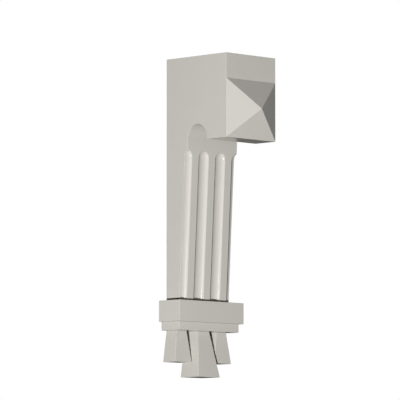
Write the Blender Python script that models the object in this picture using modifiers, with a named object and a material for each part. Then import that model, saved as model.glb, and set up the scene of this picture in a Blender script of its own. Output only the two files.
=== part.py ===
"""Wall bracket: a square head with a diamond-point boss and a hanging front, a fluted shaft with a
battered front, a stepped collar under it, and three flared drops below the collar.

X runs across the bracket, which is symmetric about x = 0. The front faces -Y and +Z is up. The wall is
the plane y = 0, and z = 0 is the underside of the head's hanging front.
"""
import math

import bmesh
import bpy
from mathutils import Matrix, Vector

# Head, in metres
WIDTH = 0.150
HEAD_DEPTH = 0.180
HEAD_HEIGHT = 0.180

# Round arch cut through from side to side, between the head's hanging front and the shaft
HANGING_DEPTH = 0.059
ARCH_SPRING = 0.006

# Shaft: its front leans back towards the foot
SHAFT_HEIGHT = 0.340
SHAFT_TOP_DEPTH = 0.065
SHAFT_FOOT_DEPTH = 0.0465

# Flutes of half elliptical section with round tops, running out at the foot: two whole, two halved by the
# corners
FLUTE_SPACES = 3
FLUTE_LAND = 0.020
FLUTE_DEPTH = 0.0075
FLUTE_MARGIN = 0.019

# How far the middle lines of the flute cutters stand out of the shaft's front, so that no edge lies in it
CUTTER_STANDOFF = 0.0006

# Diamond-point boss on the head, as wide as the head, from its underside up to a plain band
PLAIN_BAND_HEIGHT = 0.054
BOSS_PROJECTION = 0.032

# Collar: a thick board with a thin one under it, each past the shaft's sides and front
BAND_HEIGHT = 0.045
BAND_SIDE_OVERHANG = 0.0225
BAND_FRONT_OVERHANG = 0.016
FILLET_HEIGHT = 0.018
FILLET_SIDE_OVERHANG = 0.015
FILLET_FRONT_OVERHANG = 0.008

# Drops: flat backs on the wall, flaring downwards to each side and to the front. The outer edges of the
# side drops' tops stand under the shaft's sides, and the tops are set back from the fillet's front
CENTRE_DROP_HEIGHT = 0.098
CENTRE_DROP_TOP_WIDTH = 0.0335
CENTRE_DROP_SETBACK = 0.017
CENTRE_DROP_SIDE_FLARE = 0.01575
CENTRE_DROP_FRONT_FLARE = 0.017
SIDE_DROP_HEIGHT = 0.067
SIDE_DROP_SETBACK = 0.0235
SIDE_DROP_SIDE_FLARE = 0.010
SIDE_DROP_FRONT_FLARE = 0.0055
DROP_SPACE = 0.02825

# Glue line between two pieces that touch
JOINT_GAP = 0.0003

# Fineness of the round cuts
ARCH_SEGMENTS = 32
FLUTE_STEPS = 64
MERGE_DISTANCE = 0.00001

# Light warm grey satin paint, linear RGB
PAINT_COLOUR = (0.53, 0.51, 0.465, 1.0)
PAINT_ROUGHNESS = 0.42

HALF_WIDTH = WIDTH / 2
FLUTE_SPACING = WIDTH / FLUTE_SPACES
BOSS_HEIGHT = HEAD_HEIGHT - PLAIN_BAND_HEIGHT
FILLET_DEPTH = SHAFT_FOOT_DEPTH + FILLET_FRONT_OVERHANG
SIDE_DROP_TOP_WIDTH = HALF_WIDTH - CENTRE_DROP_TOP_WIDTH / 2 - DROP_SPACE
BATTER = math.atan2(SHAFT_TOP_DEPTH - SHAFT_FOOT_DEPTH, SHAFT_HEIGHT)
BAND_TOP = -SHAFT_HEIGHT - JOINT_GAP
FILLET_TOP = BAND_TOP - BAND_HEIGHT - JOINT_GAP
DROP_TOP = FILLET_TOP - FILLET_HEIGHT - JOINT_GAP


def clear_scene():
    """Remove every object the file opened with."""
    for old in list(bpy.data.objects):
        bpy.data.objects.remove(old, do_unlink=True)


def make_collection(name):
    collection = bpy.data.collections.new(name)
    bpy.context.scene.collection.children.link(collection)
    return collection


def paint(name):
    """Satin paint for one piece."""
    material = bpy.data.materials.new(f"paint_{name}")
    material.use_nodes = True
    shader = material.node_tree.nodes["Principled BSDF"]
    shader.inputs["Base Color"].default_value = PAINT_COLOUR
    shader.inputs["Roughness"].default_value = PAINT_ROUGHNESS
    shader.inputs["Metallic"].default_value = 0.0
    material.diffuse_color = PAINT_COLOUR
    return material


def add_object(name, data, collection):
    piece = bpy.data.objects.new(name, data)
    collection.objects.link(piece)
    return piece


def mesh_object(name, bm, collection):
    """A painted piece from a bmesh, which is freed."""
    mesh = bpy.data.meshes.new(name)
    bm.to_mesh(mesh)
    bm.free()
    mesh.materials.append(paint(name))
    return add_object(name, mesh, collection)


def side_outline():
    """The body seen from the side, as (y, z) points: straight edges and the half circle of the arch."""
    hanging_back = -HEAD_DEPTH + HANGING_DEPTH
    radius = (-SHAFT_TOP_DEPTH - hanging_back) / 2
    centre = hanging_back + radius
    turns = [math.pi * step / ARCH_SEGMENTS for step in range(ARCH_SEGMENTS + 1)]
    arch = [(centre - radius * math.cos(turn), ARCH_SPRING + radius * math.sin(turn)) for turn in turns]
    return [
        (0.0, HEAD_HEIGHT),
        (-HEAD_DEPTH, HEAD_HEIGHT),
        (-HEAD_DEPTH, 0.0),
        (hanging_back, 0.0),
        *arch,
        (-SHAFT_TOP_DEPTH, 0.0),
        (-SHAFT_FOOT_DEPTH, -SHAFT_HEIGHT),
        (0.0, -SHAFT_HEIGHT),
    ]


def extruded_outline(name, outline, thickness, collection):
    """A closed outline in the YZ plane, extruded equally to both sides of x = 0 and made a mesh."""
    curve = bpy.data.curves.new(f"{name}_outline", "CURVE")
    curve.dimensions = "2D"
    curve.fill_mode = "BOTH"
    curve.extrude = thickness / 2
    spline = curve.splines.new("POLY")
    spline.points.add(len(outline) - 1)
    for point, (along, up) in zip(spline.points, outline):
        point.co = (along, up, 0.0, 1.0)
    spline.use_cyclic_u = True
    guide = add_object(f"{name}_outline", curve, collection)
    guide.rotation_euler = (math.pi / 2, 0.0, math.pi / 2)
    bpy.context.view_layer.update()
    evaluated = guide.evaluated_get(bpy.context.evaluated_depsgraph_get())
    mesh = bpy.data.meshes.new_from_object(evaluated)
    mesh.name = name
    bm = bmesh.new()
    bm.from_mesh(mesh)
    bmesh.ops.remove_doubles(bm, verts=bm.verts, dist=MERGE_DISTANCE)
    bmesh.ops.recalc_face_normals(bm, faces=bm.faces)
    bm.to_mesh(mesh)
    bm.free()
    mesh.materials.clear()
    mesh.materials.append(paint(name))
    piece = add_object(name, mesh, collection)
    piece.matrix_world = guide.matrix_world.copy()
    bpy.data.objects.remove(guide, do_unlink=True)
    return piece


def flute_profile(radius, length):
    """Half section of the flute cutter: a quarter circle for the round end, then a straight side."""
    rise = [math.pi / 2 * step / (FLUTE_STEPS // 4) for step in range(FLUTE_STEPS // 4 + 1)]
    ball = [(radius * math.sin(turn), 0.0, radius * math.cos(turn)) for turn in rise]
    ball[0] = (0.0, 0.0, radius)
    return [*ball, (radius, 0.0, -length), (0.0, 0.0, -length)]


def flute_cutters(cutters):
    """One round-ended cutter for each flute, leaning with the shaft's front. It is flattened to an ellipse
    that meets the front at both lips and reaches the flute's depth."""
    half_width = (FLUTE_SPACING - FLUTE_LAND) / 2
    reach = FLUTE_DEPTH + CUTTER_STANDOFF
    radius = half_width / math.sqrt(1 - (CUTTER_STANDOFF / reach) ** 2)
    down = Vector((0.0, math.sin(BATTER), -math.cos(BATTER)))
    outward = Vector((0.0, -math.cos(BATTER), -math.sin(BATTER)))
    centre_below = FLUTE_MARGIN + half_width
    length = SHAFT_HEIGHT / math.cos(BATTER) - centre_below + radius
    profile = flute_profile(radius, length)
    mesh = bpy.data.meshes.new("flute_cutter")
    mesh.from_pydata(profile, [(i, i + 1) for i in range(len(profile) - 1)], [])
    placed = []
    for space in range(FLUTE_SPACES + 1):
        across = -HALF_WIDTH + FLUTE_SPACING * space
        cutter = add_object(f"flute_cutter_{space}", mesh, cutters)
        top_of_shaft = Vector((across, -SHAFT_TOP_DEPTH, 0.0))
        cutter.location = top_of_shaft + down * centre_below + outward * CUTTER_STANDOFF
        cutter.rotation_euler = (BATTER, 0.0, 0.0)
        cutter.scale = (1.0, reach / radius, 1.0)
        cutter.hide_render = True
        cutter.display_type = "WIRE"
        turned = cutter.modifiers.new("turned", "SCREW")
        turned.axis = "Z"
        turned.angle = 2 * math.pi
        turned.steps = FLUTE_STEPS
        turned.render_steps = FLUTE_STEPS
        turned.use_merge_vertices = True
        turned.merge_threshold = MERGE_DISTANCE
        placed.append(cutter)
    return placed


def make_body(parts, cutters):
    """Head and shaft in one blank, with the arch in its outline and the flutes cut into its front."""
    body = extruded_outline("body", side_outline(), WIDTH, parts)
    for cutter in flute_cutters(cutters):
        cut = body.modifiers.new(cutter.name, "BOOLEAN")
        cut.operation = "DIFFERENCE"
        cut.solver = "EXACT"
        cut.object = cutter
    return body


def make_diamond_boss(parts):
    """Four-sided pyramid with its base on the head's front."""
    bm = bmesh.new()
    bmesh.ops.create_cone(
        bm, cap_ends=True, segments=4, radius1=math.sqrt(0.5), radius2=0.0, depth=1.0
    )
    square = Matrix.Rotation(math.pi / 4, 4, "Z")
    sized = Matrix.Diagonal((WIDTH, BOSS_HEIGHT, BOSS_PROJECTION, 1.0))
    bmesh.ops.transform(bm, matrix=sized @ square, verts=bm.verts)
    boss = mesh_object("diamond_boss", bm, parts)
    boss.rotation_euler = (math.pi / 2, 0.0, 0.0)
    boss.location = (0.0, -HEAD_DEPTH - JOINT_GAP - BOSS_PROJECTION / 2, BOSS_HEIGHT / 2)
    return boss


def make_board(name, width, depth, top, height, parts):
    """Rectangular board with its back on the wall, hanging down from the height named top."""
    bm = bmesh.new()
    bmesh.ops.create_cube(bm, size=1.0)
    bmesh.ops.scale(bm, vec=(width, depth, height), verts=bm.verts)
    board = mesh_object(name, bm, parts)
    board.location = (0.0, -depth / 2, top - height / 2)
    return board


def make_collar(parts):
    """The stepped collar: the band under the shaft and the fillet under the band."""
    make_board(
        "collar_band",
        WIDTH + 2 * BAND_SIDE_OVERHANG,
        SHAFT_FOOT_DEPTH + BAND_FRONT_OVERHANG,
        BAND_TOP,
        BAND_HEIGHT,
        parts,
    )
    make_board(
        "collar_fillet",
        WIDTH + 2 * FILLET_SIDE_OVERHANG,
        FILLET_DEPTH,
        FILLET_TOP,
        FILLET_HEIGHT,
        parts,
    )


def make_drop(name, across, height, top_width, setback, side_flare, front_flare, parts):
    """Flared drop, from a cube: its foot is wider than its top by a flare to each side, and deeper by the
    front flare, while its back stays on the wall."""
    top_depth = FILLET_DEPTH - setback
    bm = bmesh.new()
    bmesh.ops.create_cube(bm, size=2.0)
    for corner in bm.verts:
        on_top = corner.co.z > 0
        half_width = top_width / 2 if on_top else top_width / 2 + side_flare
        depth = top_depth if on_top else top_depth + front_flare
        corner.co.x *= half_width
        corner.co.y = 0.0 if corner.co.y > 0 else -depth
        corner.co.z = 0.0 if on_top else -height
    drop = mesh_object(name, bm, parts)
    drop.location = (across, 0.0, DROP_TOP)
    return drop


def make_drops(parts):
    """Two short drops under the shaft's edges, and a longer, wider one between them."""
    make_drop(
        "drop_centre",
        0.0,
        CENTRE_DROP_HEIGHT,
        CENTRE_DROP_TOP_WIDTH,
        CENTRE_DROP_SETBACK,
        CENTRE_DROP_SIDE_FLARE,
        CENTRE_DROP_FRONT_FLARE,
        parts,
    )
    side_across = HALF_WIDTH - SIDE_DROP_TOP_WIDTH / 2
    for name, across in (("drop_left", -side_across), ("drop_right", side_across)):
        make_drop(
            name,
            across,
            SIDE_DROP_HEIGHT,
            SIDE_DROP_TOP_WIDTH,
            SIDE_DROP_SETBACK,
            SIDE_DROP_SIDE_FLARE,
            SIDE_DROP_FRONT_FLARE,
            parts,
        )


clear_scene()
bracket = make_collection("architectural_bracket")
cutter_collection = make_collection("cutters")
make_body(bracket, cutter_collection)
make_diamond_boss(bracket)
make_collar(bracket)
make_drops(bracket)
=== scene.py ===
"""Painted timber wall bracket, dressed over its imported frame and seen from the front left, a little below.

X runs across the bracket, -Y is its front and +Z is up, all in metres. Its back lies in the plane y = 0.
"""

import bpy
import numpy as np
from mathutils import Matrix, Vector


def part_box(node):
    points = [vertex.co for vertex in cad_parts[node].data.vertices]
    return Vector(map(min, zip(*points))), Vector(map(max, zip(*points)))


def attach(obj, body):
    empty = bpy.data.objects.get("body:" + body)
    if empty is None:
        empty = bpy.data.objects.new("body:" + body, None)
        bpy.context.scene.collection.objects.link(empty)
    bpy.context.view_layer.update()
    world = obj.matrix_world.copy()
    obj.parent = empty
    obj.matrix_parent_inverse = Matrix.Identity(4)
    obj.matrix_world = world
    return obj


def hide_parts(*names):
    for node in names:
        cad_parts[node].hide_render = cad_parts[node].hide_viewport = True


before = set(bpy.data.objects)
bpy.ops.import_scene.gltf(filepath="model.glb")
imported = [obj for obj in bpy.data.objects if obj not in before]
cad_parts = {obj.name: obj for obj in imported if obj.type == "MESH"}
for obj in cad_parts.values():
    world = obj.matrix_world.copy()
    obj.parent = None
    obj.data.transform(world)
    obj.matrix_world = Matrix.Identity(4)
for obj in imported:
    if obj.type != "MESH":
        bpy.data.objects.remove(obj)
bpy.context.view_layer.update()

# Head and shaft. One glued-up blank of softwood, bandsawn to its side outline, with the round arch sawn out
# from side to side. Four flutes of half elliptical section are routed down the battered front, and the
# outer two are halved by the corners. Arrises are sanded just enough to hold the paint.
MM = 0.001
ARRIS = 0.6 * MM
ARRIS_STEPS = 5
HANGING_DEPTH = 59.0 * MM
ARCH_SPRING = 6.0 * MM
ARCH_STEPS = 48
SHAFT_TOP_DEPTH = 65.0 * MM
SHAFT_FOOT_DEPTH = 46.5 * MM
FLUTE_SPACES = 3
FLUTE_LAND = 20.0 * MM
FLUTE_DEPTH = 7.5 * MM
FLUTE_MARGIN = 19.0 * MM
FLUTE_LIP = 0.4 * MM
FLUTE_COLUMNS = 28
LAND_COLUMNS = 8
END_ROWS = 36
END_SPREAD = 0.03 * MM
STRAIGHT_ROWS = 14
SHARP_ANGLE = np.radians(50.0)

PAINT_LIGHT = "#B0ADA7"
PAINT_DARK = "#ACA9A3"
PAINT_ROUGHNESS = 0.2
ROUGHNESS_SPREAD = 0.04
PAINT_IOR = 1.5
CLOUD_SIZE = 70.0 * MM
CLOUD_DETAIL = 2.0
SPRAY_SIZE = 2.5 * MM
SPRAY_DETAIL = 1.0
SPRAY_HEIGHT = 0.02 * MM
SPRAY_LOW = 0.3
SPRAY_HIGH = 0.7
GRAIN_WIDTH = 1.6 * MM
GRAIN_LENGTH = 60.0 * MM
GRAIN_DETAIL = 2.0
GRAIN_HEIGHT = 0.03 * MM
TINY_LENGTH = 1e-12


def unit(vectors):
    """Each vector divided by its own length."""
    return vectors / np.maximum(np.linalg.norm(vectors, axis=-1, keepdims=True), TINY_LENGTH)


def eased_corners(corners, radius):
    """Each corner of a closed outline replaced by an arc that touches both its sides.

    The arc's centre lies on the line that halves the corner, at radius over the sine of half its angle.
    Its points swing evenly from the normal of one side to the normal of the other.
    """
    back = unit(np.roll(corners, 1, axis=0) - corners)
    ahead = unit(np.roll(corners, -1, axis=0) - corners)
    half = np.arccos(np.clip((back * ahead).sum(1), -1.0, 1.0))[:, None] / 2
    centre = corners + unit(back + ahead) * radius / np.sin(half)
    start = unit(corners + back * radius / np.tan(half) - centre)
    stop = unit(corners + ahead * radius / np.tan(half) - centre)
    swing = (np.pi - 2 * half)[:, :, None]
    share = np.linspace(0.0, 1.0, ARRIS_STEPS + 1)[None, :, None]
    spoke = np.sin((1 - share) * swing) * start[:, None] + np.sin(share * swing) * stop[:, None]
    return centre[:, None] + radius * spoke / np.sin(swing)


def flute_depth(reach, half_width):
    """How deep a flute is at a distance from its middle line, or from the middle of its round top.

    It is half an ellipse, as wide as the flute, and a quarter circle round its lip joins it to the land.
    """
    past_lip = np.clip((reach - half_width) / FLUTE_LIP, 0.0, 1.0)
    lip = FLUTE_LIP * (1 - np.sqrt(past_lip * (2 - past_lip)))
    hollow = (FLUTE_DEPTH - FLUTE_LIP) * np.sqrt(np.maximum(1 - (reach / half_width) ** 2, 0.0))
    return lip + hollow


def places_across(width, spacing, half_width):
    """Places across the shaft: equal turns of the ellipse in a flute and of the quarter circle at its lip,
    then equal steps over a land. The outermost are a quarter circle's, which ease the long side arrises."""
    flute = half_width * np.sin(np.linspace(0.0, np.pi / 2, FLUTE_COLUMNS))
    lip = half_width + FLUTE_LIP * (1 - np.cos(np.linspace(0.0, np.pi / 2, ARRIS_STEPS + 1)))
    land = np.linspace(lip[-1], spacing - lip[-1], LAND_COLUMNS)
    space = np.concatenate([flute, lip[1:], land[1:-1], spacing - lip[:0:-1], spacing - flute[:0:-1]])
    starts = spacing * np.arange(FLUTE_SPACES) - width / 2
    inner = np.add.outer(starts, space).ravel()
    edge = width / 2 - ARRIS
    inner = inner[np.abs(inner) < edge]
    ease = edge + ARRIS * np.sin(np.linspace(0.0, np.pi / 2, ARRIS_STEPS + 1))
    return np.concatenate([-ease[::-1], inner, ease])


def rises(aside, half_width):
    """Heights above the middle of a flute's round top, for each distance to its side, as place by height.

    They climb from its middle to its lip by equal turns of the ellipse, and then over the lip. Beside the
    flute there is nothing to climb, so there they only keep a small space from each other.
    """
    start = np.arcsin(np.minimum(aside / half_width, 1.0))[:, None]
    turn = start + (np.pi / 2 - start) * np.linspace(0.0, 1.0, END_ROWS)
    lip = FLUTE_LIP * (1 - np.cos(np.linspace(0.0, np.pi / 2, ARRIS_STEPS + 1)))[1:]
    lip_reach = np.broadcast_to(half_width + lip, (len(aside), ARRIS_STEPS))
    reach = np.concatenate([half_width * np.sin(turn), lip_reach], axis=1)
    climb = np.sqrt(np.maximum(reach**2 - aside[:, None] ** 2, 0.0))
    return np.maximum(climb, END_SPREAD * np.arange(reach.shape[1]))


def body_rings(width, head_depth, head_height, shaft_height):
    """Side outlines of the head and shaft, one for each place across, as ring by point by xyz.

    Each is the sawn shape with its outer corners eased, and its front is sunk by the flutes' depth, square
    to the batter. The outermost are drawn in by what a quarter circle falls, along their own normals or,
    on the front, square to the batter.
    """
    spacing = width / FLUTE_SPACES
    half_width = (spacing - FLUTE_LAND) / 2
    hanging_back = HANGING_DEPTH - head_depth
    head_corners = np.array([
        (0.0, -shaft_height),
        (0.0, head_height),
        (-head_depth, head_height),
        (-head_depth, 0.0),
        (hanging_back, 0.0),
        (hanging_back, ARCH_SPRING),
    ])
    eased = eased_corners(head_corners, ARRIS)
    turn = np.linspace(0.0, np.pi, ARCH_STEPS + 1)
    arch_radius = (-SHAFT_TOP_DEPTH - hanging_back) / 2
    arch_y = hanging_back + arch_radius * (1 - np.cos(turn))
    arch_z = ARCH_SPRING + arch_radius * np.sin(turn)
    fixed = np.concatenate([head_corners[:1], eased[1:5].reshape(-1, 2), np.stack([arch_y, arch_z], axis=1)])

    slope_top = np.array([-SHAFT_TOP_DEPTH, 0.0])
    slope = np.array([-SHAFT_FOOT_DEPTH, -shaft_height]) - slope_top
    length = np.linalg.norm(slope)
    along_slope = slope / length
    inward = np.array([-along_slope[1], along_slope[0]])
    end_middle = FLUTE_MARGIN + half_width
    across = places_across(width, spacing, half_width)
    aside = np.abs(across - spacing * (np.round(across / spacing - 0.5) + 0.5))
    rise = rises(aside, half_width)[:, ::-1]
    straight = np.linspace(end_middle, length, STRAIGHT_ROWS)[1:]
    rise = np.concatenate([rise, np.zeros((len(across), len(straight)))], axis=1)
    below = np.concatenate([np.full(rise.shape[1] - len(straight), end_middle), straight])
    sunk = flute_depth(np.hypot(aside[:, None], rise), half_width)[:, :, None]
    front = slope_top + (below - rise)[:, :, None] * along_slope + sunk * inward
    front = np.concatenate([np.broadcast_to(slope_top, (len(across), 1, 2)), front], axis=1)

    loops = np.concatenate([np.broadcast_to(fixed, (len(across), *fixed.shape)), front], axis=1)
    onward = unit(np.roll(loops, -1, axis=1) - np.roll(loops, 1, axis=1))
    outward = np.stack([onward[..., 1], -onward[..., 0]], axis=-1)
    outward[:, len(fixed):] = -inward
    past_edge = np.clip(np.abs(across) - (width / 2 - ARRIS), 0.0, ARRIS)
    drawn_in = ARRIS - np.sqrt(ARRIS**2 - past_edge**2)
    loops = loops - outward * drawn_in[:, None, None]
    sideways = np.broadcast_to(across[:, None, None], (*loops.shape[:2], 1))
    return np.concatenate([sideways, loops], axis=-1)


def solid_from_rings(name, rings):
    """A closed surface over rings of points, given as ring by point by xyz: quads join each ring to the next
    and a flat face closes either end. Normals are weighted by area, so flat faces look flat."""
    count, around = rings.shape[:2]
    here = np.arange(count * around).reshape(count, around)
    ahead = np.roll(here, -1, axis=1)
    quads = np.stack([here[:-1], ahead[:-1], ahead[1:], here[1:]], axis=-1).reshape(-1, 4)
    ends = [here[0, ::-1].tolist(), here[-1].tolist()]
    mesh = bpy.data.meshes.new(name)
    mesh.from_pydata(rings.reshape(-1, 3).tolist(), [], quads.tolist() + ends)
    mesh.shade_smooth()
    mesh.set_sharp_from_angle(angle=SHARP_ANGLE)
    piece = bpy.data.objects.new(name, mesh)
    bpy.context.scene.collection.objects.link(piece)
    weighted = piece.modifiers.new("flat_faces", "WEIGHTED_NORMAL")
    weighted.keep_sharp = True
    return piece


def linear(hex_colour):
    """The linear colour of an sRGB hex value."""
    channels = np.array([int(hex_colour[place:place + 2], 16) for place in (1, 3, 5)]) / 255
    straight = np.where(channels <= 0.04045, channels / 12.92, ((channels + 0.055) / 1.055) ** 2.4)
    return (*straight.tolist(), 1.0)


def add_node(tree, kind, inputs, **settings):
    """A new node with its settings made and its inputs filled, each with a value or with another's output."""
    node = tree.nodes.new(kind)
    for setting, value in settings.items():
        setattr(node, setting, value)
    for socket, value in inputs.items():
        if isinstance(value, bpy.types.NodeSocket):
            tree.links.new(value, node.inputs[socket])
        else:
            node.inputs[socket].default_value = value
    return node


def painted_softwood(name, grain_axis):
    """Satin paint over softwood whose grain runs along one axis of the bracket, 0 for X to 2 for Z."""
    material = bpy.data.materials.new(name)
    material.use_nodes = True
    tree = material.node_tree
    place = add_node(tree, "ShaderNodeTexCoord", {}).outputs["Object"]
    cloud = add_node(tree, "ShaderNodeTexNoise", {
        "Vector": place,
        "Scale": 1 / CLOUD_SIZE,
        "Detail": CLOUD_DETAIL,
    })
    spray = add_node(tree, "ShaderNodeTexNoise", {
        "Vector": place,
        "Scale": 1 / SPRAY_SIZE,
        "Detail": SPRAY_DETAIL,
    })
    stretch = [1 / GRAIN_WIDTH] * 3
    stretch[grain_axis] = 1 / GRAIN_LENGTH
    stretched = add_node(tree, "ShaderNodeMapping", {"Vector": place, "Scale": stretch})
    grain = add_node(tree, "ShaderNodeTexNoise", {
        "Vector": stretched.outputs["Vector"],
        "Scale": 1.0,
        "Detail": GRAIN_DETAIL,
    })
    tone = add_node(tree, "ShaderNodeMix", {
        0: cloud.outputs["Fac"],
        6: linear(PAINT_DARK),
        7: linear(PAINT_LIGHT),
    }, data_type="RGBA")
    sheen = add_node(tree, "ShaderNodeMapRange", {
        "Value": spray.outputs["Fac"],
        "From Min": SPRAY_LOW,
        "From Max": SPRAY_HIGH,
        "To Min": PAINT_ROUGHNESS - ROUGHNESS_SPREAD,
        "To Max": PAINT_ROUGHNESS + ROUGHNESS_SPREAD,
    })
    fibres = add_node(tree, "ShaderNodeBump", {"Height": grain.outputs["Fac"], "Distance": GRAIN_HEIGHT})
    film = add_node(tree, "ShaderNodeBump", {
        "Height": spray.outputs["Fac"],
        "Distance": SPRAY_HEIGHT,
        "Normal": fibres.outputs["Normal"],
    })
    paint = tree.nodes["Principled BSDF"]
    paint.inputs["IOR"].default_value = PAINT_IOR
    tree.links.new(tone.outputs[2], paint.inputs["Base Color"])
    tree.links.new(sheen.outputs["Result"], paint.inputs["Roughness"])
    tree.links.new(film.outputs["Normal"], paint.inputs["Normal"])
    return material


low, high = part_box("body")
body = solid_from_rings("fluted_body", body_rings(high[0] - low[0], -low[1], high[2], -low[2]))
# Exterior satin paint, sprayed over sanded primer. It gives an even light warm grey with a soft sheen: the
# spray's orange peel, the raised grain below it and the uneven film are all but gone.
upright_paint = painted_softwood("satin_painted_softwood_upright", 2)
body.data.materials.append(upright_paint)
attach(body, "root")
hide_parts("body")

# Diamond boss. A block of softwood, its face cut to a low four-sided point, glued to the front of the head
# and sanded flush with its sides and underside. The grain runs across the bracket.
RIDGE = 1.0 * MM
RIDGE_SHARE = 1 / 3
BOSS_POINT = 1.2 * MM


def rounded_rectangles(low_corners, high_corners, radii):
    """One outline for each pair of opposite corners, as outline by point by xy. Each corner is a quarter
    circle of the outline's radius, whose centre stands in from the corner by that radius."""
    turn = np.linspace(0.0, np.pi / 2, ARRIS_STEPS + 1)
    angles = np.add.outer(np.arange(4) * np.pi / 2, turn)
    spokes = np.stack([np.cos(angles), np.sin(angles)], axis=-1)
    signs = np.array([(1, 1), (-1, 1), (-1, -1), (1, -1)])
    middle = (low_corners + high_corners) / 2
    reach = (high_corners - low_corners) / 2 - radii[:, None]
    centres = middle[:, None] + signs * reach[:, None]
    outlines = centres[:, :, None] + radii[:, None, None, None] * spokes
    return outlines.reshape(len(radii), -1, 2)


def boss_rings(low, high, head_face):
    """Outlines of the boss from its back to its point, as ring by point by xyz.

    A section through its middle goes from the side to the point, with both corners eased. At each place on
    that section the outline is the full rectangle shrunk by the same share of its width and height, and
    near the point its corners' radius is no more than a share of its half width.
    """
    half_width = (high[0] - low[0]) / 2
    section = eased_corners(np.array([
        (half_width, head_face + ARRIS),
        (half_width, head_face),
        (0.0, low[1] - BOSS_POINT * (1 / np.cos(np.arctan2(head_face - low[1], half_width)) - 1)),
        (-half_width, head_face),
    ]), BOSS_POINT)
    half_arc = ARRIS_STEPS // 2 + 1
    path = np.concatenate([[(half_width, head_face + ARRIS)], section[1], section[2, :half_arc]])
    share = path[:, :1] / half_width
    full_low = np.array([low[0], low[2]])
    full_high = np.array([high[0], high[2]])
    middle = (full_low + full_high) / 2
    lows = middle + share * (full_low - middle)
    highs = middle + share * (full_high - middle)
    radii = np.minimum(RIDGE, share[:, 0] * half_width * RIDGE_SHARE)
    flat = rounded_rectangles(lows, highs, radii)
    depth = np.broadcast_to(path[:, 1, None, None], (*flat.shape[:2], 1))
    return np.concatenate([flat[..., :1], depth, flat[..., 1:]], axis=-1)


head_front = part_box("body")[0][1]
boss = solid_from_rings("diamond_point", boss_rings(*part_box("diamond_boss"), head_front))
crosswise_paint = painted_softwood("satin_painted_softwood_crosswise", 0)
boss.data.materials.append(crosswise_paint)
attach(boss, "root")
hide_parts("diamond_boss")

# Collar. Two boards under the shaft, the upper thicker and wider, glued and pinned one under the other.
# Their edges are left square. The paint fills the glue lines, so each board runs up to what it's fixed to.
GLUE_LINE = 0.3 * MM


def block_rings(foot_low, foot_high, top_low, top_high):
    """Outlines of an upright block from its foot to its top, as ring by point by xyz. Its sides run straight
    from the foot's rectangle to the top's, and a quarter circle eases the arrises at both ends."""
    turn = np.linspace(0.0, np.pi / 2, ARRIS_STEPS + 1)
    rise = ARRIS * (1 - np.cos(turn))
    inset = ARRIS * (1 - np.sin(turn))
    height = top_low[2] - foot_low[2]
    up = np.concatenate([rise, height - rise[::-1]])[:, None]
    inset = np.concatenate([inset, inset[::-1]])[:, None]
    lows = foot_low[:2] + (top_low - foot_low)[:2] * up / height + inset
    highs = foot_high[:2] + (top_high - foot_high)[:2] * up / height - inset
    flat = rounded_rectangles(lows, highs, np.full(len(up), ARRIS))
    level = np.broadcast_to(foot_low[2] + up[:, :, None], (*flat.shape[:2], 1))
    return np.concatenate([flat, level], axis=-1)


for node in ("collar_band", "collar_fillet"):
    foot_low, high = np.array(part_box(node))
    top_high = high + (0.0, 0.0, GLUE_LINE)
    top_low = np.array([foot_low[0], foot_low[1], top_high[2]])
    board = solid_from_rings(node + "_board", block_rings(foot_low, high, top_low, top_high))
    board.data.materials.append(crosswise_paint)
    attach(board, "root")
    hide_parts(node)

# Drops. Three blocks glued under the fillet, sawn so that their fronts and sides flare to a square foot
# while their backs stay flat. The middle one is longer and wider. Their grain runs down them.
SIDE_DROP_TOP = (30.0 * MM, 31.0 * MM)
CENTRE_DROP_TOP = (33.5 * MM, 37.5 * MM)

# Each drop's top is given by its width across and its depth from the wall.
for node, top_size in (
    ("drop_left", SIDE_DROP_TOP),
    ("drop_centre", CENTRE_DROP_TOP),
    ("drop_right", SIDE_DROP_TOP),
):
    foot_low, foot_high = np.array(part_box(node))
    middle = (foot_low[0] + foot_high[0]) / 2
    top = foot_high[2] + GLUE_LINE
    top_low = np.array([middle - top_size[0] / 2, foot_high[1] - top_size[1], top])
    top_high = np.array([middle + top_size[0] / 2, foot_high[1], top])
    drop = solid_from_rings(node + "_block", block_rings(foot_low, foot_high, top_low, top_high))
    drop.data.materials.append(upright_paint)
    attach(drop, "root")
    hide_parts(node)

# Floor. A wide pale matt floor, below the camera, so that it shows only in views from above. It glows a
# little, so that it is pale where no lamp reaches it, and throws no light at the bracket.
FLOOR_LEVEL = -1.75
FLOOR_HALF = 9.0
FLOOR_COLOUR = "#E9E7E4"
FLOOR_GLOW = 0.6
FLOOR_ROUGHNESS = 0.9

corners = FLOOR_HALF * np.array([(-1, -1), (1, -1), (1, 1), (-1, 1)])
floor_mesh = bpy.data.meshes.new("floor")
floor_mesh.from_pydata([(x, y, FLOOR_LEVEL) for x, y in corners.tolist()], [], [(0, 1, 2, 3)])
floor = bpy.data.objects.new("floor", floor_mesh)
bpy.context.scene.collection.objects.link(floor)
floor_paint = bpy.data.materials.new("matt_floor_paint")
floor_paint.use_nodes = True
floor_shader = floor_paint.node_tree.nodes["Principled BSDF"]
floor_shader.inputs["Base Color"].default_value = linear(FLOOR_COLOUR)
floor_shader.inputs["Roughness"].default_value = FLOOR_ROUGHNESS
floor_shader.inputs["Emission Color"].default_value = linear(FLOOR_COLOUR)
floor_shader.inputs["Emission Strength"].default_value = FLOOR_GLOW
floor_mesh.materials.append(floor_paint)
floor.visible_diffuse = False
floor.visible_glossy = False

# Camera. It stands eight metres off at the bracket's front left corner, below it, and looks slightly up
# through a long lens, so that both visible sides run almost parallel.
VIEW_TARGET = np.array([-0.03395, -0.0605, -0.12428])
VIEW_DISTANCE = 8.02
VIEW_TURN = np.radians(-45.0)
VIEW_PITCH = np.radians(5.04)
LENS_MM = 337.3
SENSOR_MM = 36.0


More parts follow.
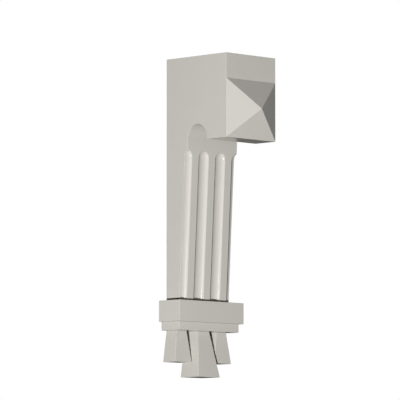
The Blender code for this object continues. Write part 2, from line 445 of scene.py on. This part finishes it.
def direction(turn, pitch):
    """The unit vector that is turned from +Y about +Z, and then raised."""
    level = np.cos(pitch)
    return np.array([-np.sin(turn) * level, np.cos(turn) * level, np.sin(pitch)])


camera_data = bpy.data.cameras.new("camera")
camera_data.lens = LENS_MM
camera_data.sensor_width = SENSOR_MM
camera = bpy.data.objects.new("camera", camera_data)
camera.location = VIEW_TARGET - VIEW_DISTANCE * direction(VIEW_TURN, VIEW_PITCH)
camera.rotation_euler = (np.pi / 2 + VIEW_PITCH, 0.0, VIEW_TURN)
bpy.context.scene.collection.objects.link(camera)
bpy.context.scene.camera = camera

# Lights. A small strong lamp at the front left, below the bracket, as in the photograph, with broad ones in
# front and behind, none of them reflected. A small one near the foot is only reflected, and draws the bright
# points in the flutes. The room is white to the eye and throws a faint light on the paint.
KEY_TURN = np.radians(-51.5)
KEY_PITCH = np.radians(13.8)
KEY_DISTANCE = 5.0
KEY_SIZE = 0.25
KEY_POWER = 430.0
FRONT_TURN = 0.0
FRONT_PITCH = 0.0
FRONT_DISTANCE = 4.0
FRONT_SIZE = 2.5
FRONT_POWER = 20.0
NEAR_TURN = np.radians(-31.0)
NEAR_PITCH = np.radians(16.0)
NEAR_DISTANCE = 1.5
NEAR_SIZE = 0.08
NEAR_POWER = 12.0
REAR_TURN = np.radians(148.0)
REAR_PITCH = np.radians(-50.0)
REAR_DISTANCE = 4.0
REAR_SIZE = 2.5
REAR_POWER = 300.0
ROOM_COLOUR = (1.0, 1.0, 1.0, 1.0)
ROOM_FILL = 0.015


def add_lamp(name, turn, pitch, distance, size, power, reflected=False):
    """A round lamp of a size and power, which shines in a direction at the middle of the bracket. It either
    lights the paint or is only reflected in it."""
    lamp_data = bpy.data.lights.new(name, "AREA")
    lamp_data.shape = "DISK"
    lamp_data.size = size
    lamp_data.energy = power
    lamp = bpy.data.objects.new(name, lamp_data)
    lamp.location = VIEW_TARGET - distance * direction(turn, pitch)
    lamp.rotation_euler = (np.pi / 2 + pitch, 0.0, turn)
    lamp.visible_glossy = reflected
    lamp.visible_diffuse = not reflected
    bpy.context.scene.collection.objects.link(lamp)


add_lamp("key_lamp", KEY_TURN, KEY_PITCH, KEY_DISTANCE, KEY_SIZE, KEY_POWER)
add_lamp("front_lamp", FRONT_TURN, FRONT_PITCH, FRONT_DISTANCE, FRONT_SIZE, FRONT_POWER)
add_lamp("rear_lamp", REAR_TURN, REAR_PITCH, REAR_DISTANCE, REAR_SIZE, REAR_POWER)
add_lamp("near_lamp", NEAR_TURN, NEAR_PITCH, NEAR_DISTANCE, NEAR_SIZE, NEAR_POWER, reflected=True)
room = bpy.data.worlds.new("white_room")
room.use_nodes = True
bpy.context.scene.world = room
room_tree = room.node_tree
seen = add_node(room_tree, "ShaderNodeBackground", {"Color": ROOM_COLOUR, "Strength": 1.0})
fill = add_node(room_tree, "ShaderNodeBackground", {"Color": ROOM_COLOUR, "Strength": ROOM_FILL})
ray = add_node(room_tree, "ShaderNodeLightPath", {})
either = add_node(room_tree, "ShaderNodeMixShader", {
    0: ray.outputs["Is Camera Ray"],
    1: fill.outputs["Background"],
    2: seen.outputs["Background"],
})
room_tree.links.new(either.outputs["Shader"], room_tree.nodes["World Output"].inputs["Surface"])
bpy.context.scene.view_settings.view_transform = "Standard"
